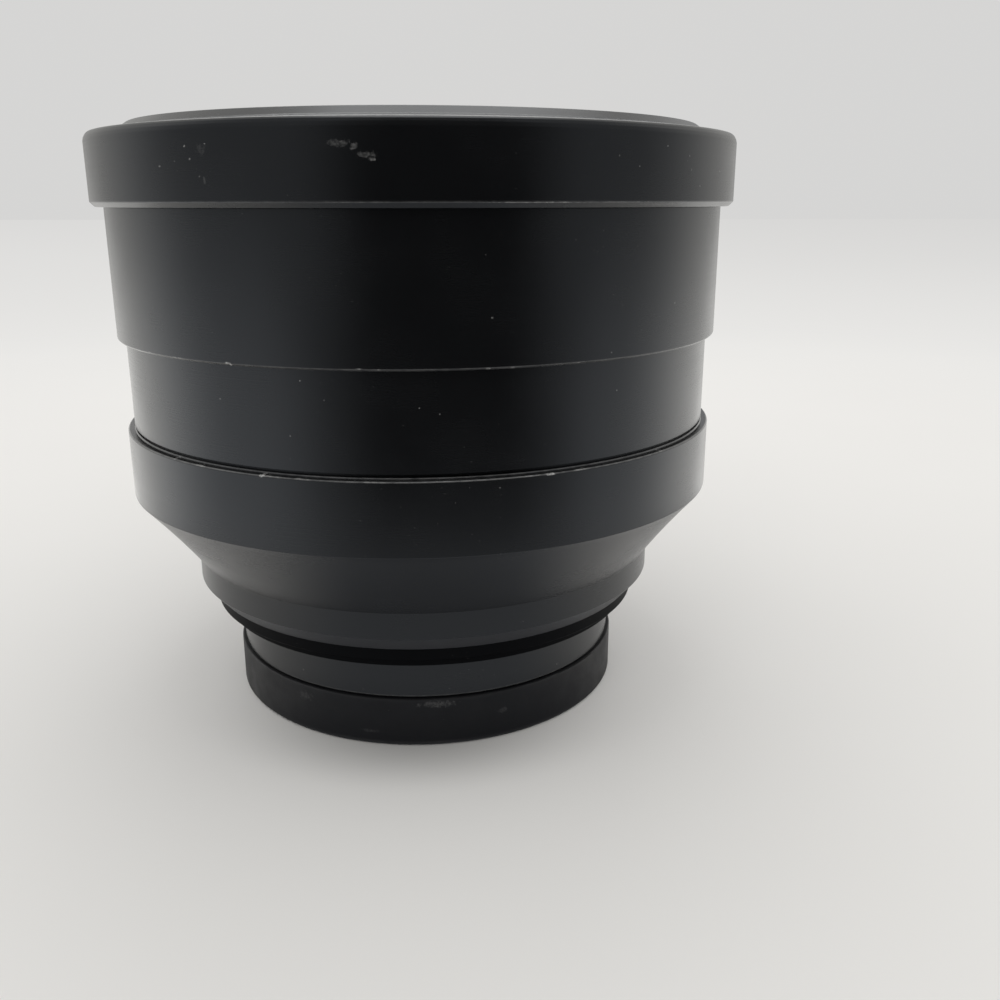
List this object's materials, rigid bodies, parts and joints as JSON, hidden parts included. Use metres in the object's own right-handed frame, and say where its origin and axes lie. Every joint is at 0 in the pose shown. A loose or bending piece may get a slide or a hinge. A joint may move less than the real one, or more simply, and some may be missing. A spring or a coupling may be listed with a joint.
{
  "type": "wide-angle conversion lens",
  "caption": "Black screw-on lens attachment that widens a camera lens's view, with a stepped barrel, a tapered neck, a male rear thread and a push-on rear cap that it stands on.",
  "frame": {"origin": "centre of the rear cap's foot, on the surface that the lens stands on", "axes": "+Z along the optical axis towards the front of the lens; X and Y are alike, with the spanner slots on X"},
  "size_m": [0.0942, 0.0942, 0.0863],
  "materials": {
    "black_anodised": "black anodised, finely turned, satin",
    "mount_metal": "black anodised, glossier",
    "dark_metal": "black anodised, matte",
    "inner_black": "blackened, dull",
    "coated_glass": "polished, with a green and violet coating",
    "cap_plastic": "moulded matte black, scuffed",
    "seal_rubber": "dull black",
    "brass": "bare, slightly tarnished",
    "screw_steel": "bare"
  },
  "bodies": {
    "lens": {"mount_ring": "mount_metal", "cover_ring": "dark_metal", "rear_housing": "black_anodised", "cell_shim": "brass", "rear_cell": "inner_black", "rear_flint_element": "coated_glass", "rear_crown_element": "coated_glass", "rear_retaining_ring": "inner_black", "cell_screws": "screw_steel", "mount_set_screws": "screw_steel", "main_barrel": "black_anodised", "joint_ring": "black_anodised", "front_seal": "seal_rubber", "front_element": "coated_glass", "front_retaining_ring": "inner_black", "front_ring": "black_anodised", "spacer_ring": "inner_black", "second_cell": "inner_black", "second_element": "coated_glass", "second_retaining_ring": "inner_black", "light_baffle": "inner_black", "stack_retaining_ring": "inner_black"},
    "cap": {"rear_cap": "cap_plastic"}
  },
  "joints": [
    {"name": "cap_slide", "type": "slide", "parent": "lens", "child": "cap", "axis": [0, 0, -1], "range_m": [0, 0.03]}
  ]
}
